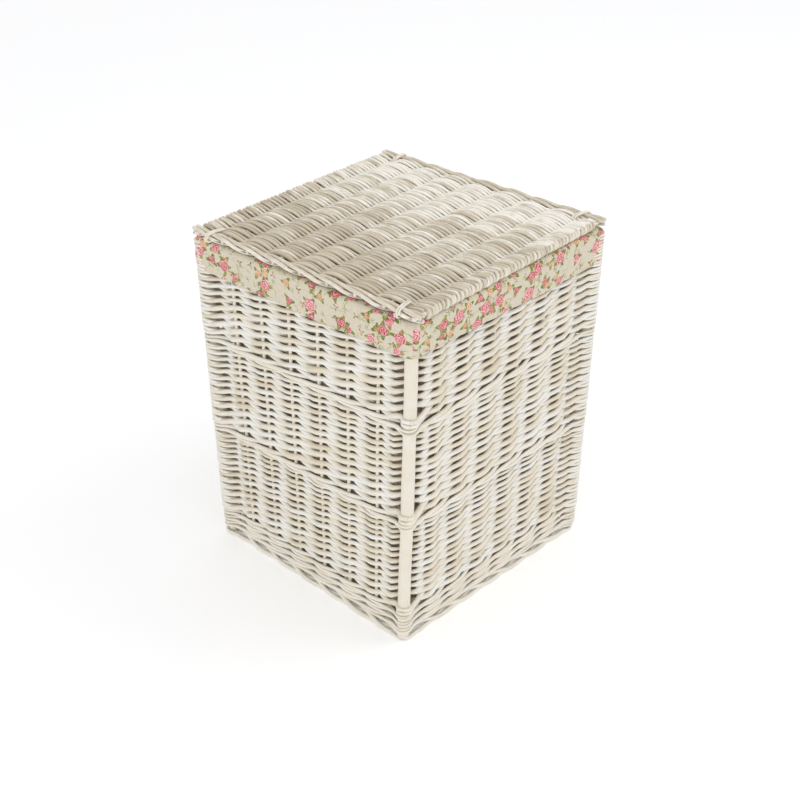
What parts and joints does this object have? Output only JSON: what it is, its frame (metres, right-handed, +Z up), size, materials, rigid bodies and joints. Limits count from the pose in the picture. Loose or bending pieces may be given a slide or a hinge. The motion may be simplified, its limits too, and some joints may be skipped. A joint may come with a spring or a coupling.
{
  "type": "laundry basket",
  "caption": "Square whitewashed willow laundry basket with a rose-print cotton liner turned over the rim and a flat lift-off woven lid.",
  "frame": {"origin": "middle of the square foot, on the floor", "axes": "+Z up; front side faces -Y, right side +X, back side +Y, left side -X"},
  "size_m": [0.4212, 0.4204, 0.5102],
  "materials": {
    "whitewashed_willow": "brushed-on white wash over buff willow, matt",
    "willow_stick": "peeled stick under white wash, satin",
    "printed_cotton": "cream cotton with a small rose print, matt",
    "elastic": "woven elastic, matt"
  },
  "bodies": {
    "basket": {"base_edge_sticks": "whitewashed_willow", "base_sticks": "whitewashed_willow", "base_weave": "whitewashed_willow", "corner_post_back_left": "willow_stick", "corner_post_back_right": "willow_stick", "corner_post_front_left": "willow_stick", "corner_post_front_right": "willow_stick", "foot_border": "whitewashed_willow", "foot_wale": "whitewashed_willow", "lower_wale": "whitewashed_willow", "lower_weave_back": "whitewashed_willow", "lower_weave_front": "whitewashed_willow", "lower_weave_left": "whitewashed_willow", "lower_weave_right": "whitewashed_willow", "middle_weave_back": "whitewashed_willow", "middle_weave_front": "whitewashed_willow", "middle_weave_left": "whitewashed_willow", "middle_weave_right": "whitewashed_willow", "rim_border": "whitewashed_willow", "stakes_back": "whitewashed_willow", "stakes_front": "whitewashed_willow", "stakes_left": "whitewashed_willow", "stakes_right": "whitewashed_willow", "upper_wale": "whitewashed_willow", "upper_weave_back": "whitewashed_willow", "upper_weave_front": "whitewashed_willow", "upper_weave_left": "whitewashed_willow", "upper_weave_right": "whitewashed_willow"},
    "liner": {"liner_bag": "printed_cotton", "liner_cuff": "printed_cotton", "cuff_elastic": "elastic"},
    "lid": {"lid_binding_back_left": "whitewashed_willow", "lid_binding_back_right": "whitewashed_willow", "lid_binding_front_left": "whitewashed_willow", "lid_binding_front_right": "whitewashed_willow", "lid_edge_wale_left": "whitewashed_willow", "lid_edge_wale_right": "whitewashed_willow", "lid_ribs": "whitewashed_willow", "lid_side_stick_back": "willow_stick", "lid_side_stick_front": "willow_stick", "lid_weave": "whitewashed_willow"}
  },
  "joints": [
    {"name": "liner_lift", "type": "slide", "parent": "basket", "child": "liner", "axis": [0, 0, 1], "range_m": [0, 0.5]},
    {"name": "lid_lift", "type": "slide", "parent": "liner", "child": "lid", "axis": [0, 0, 1], "range_m": [0, 0.2]}
  ]
}
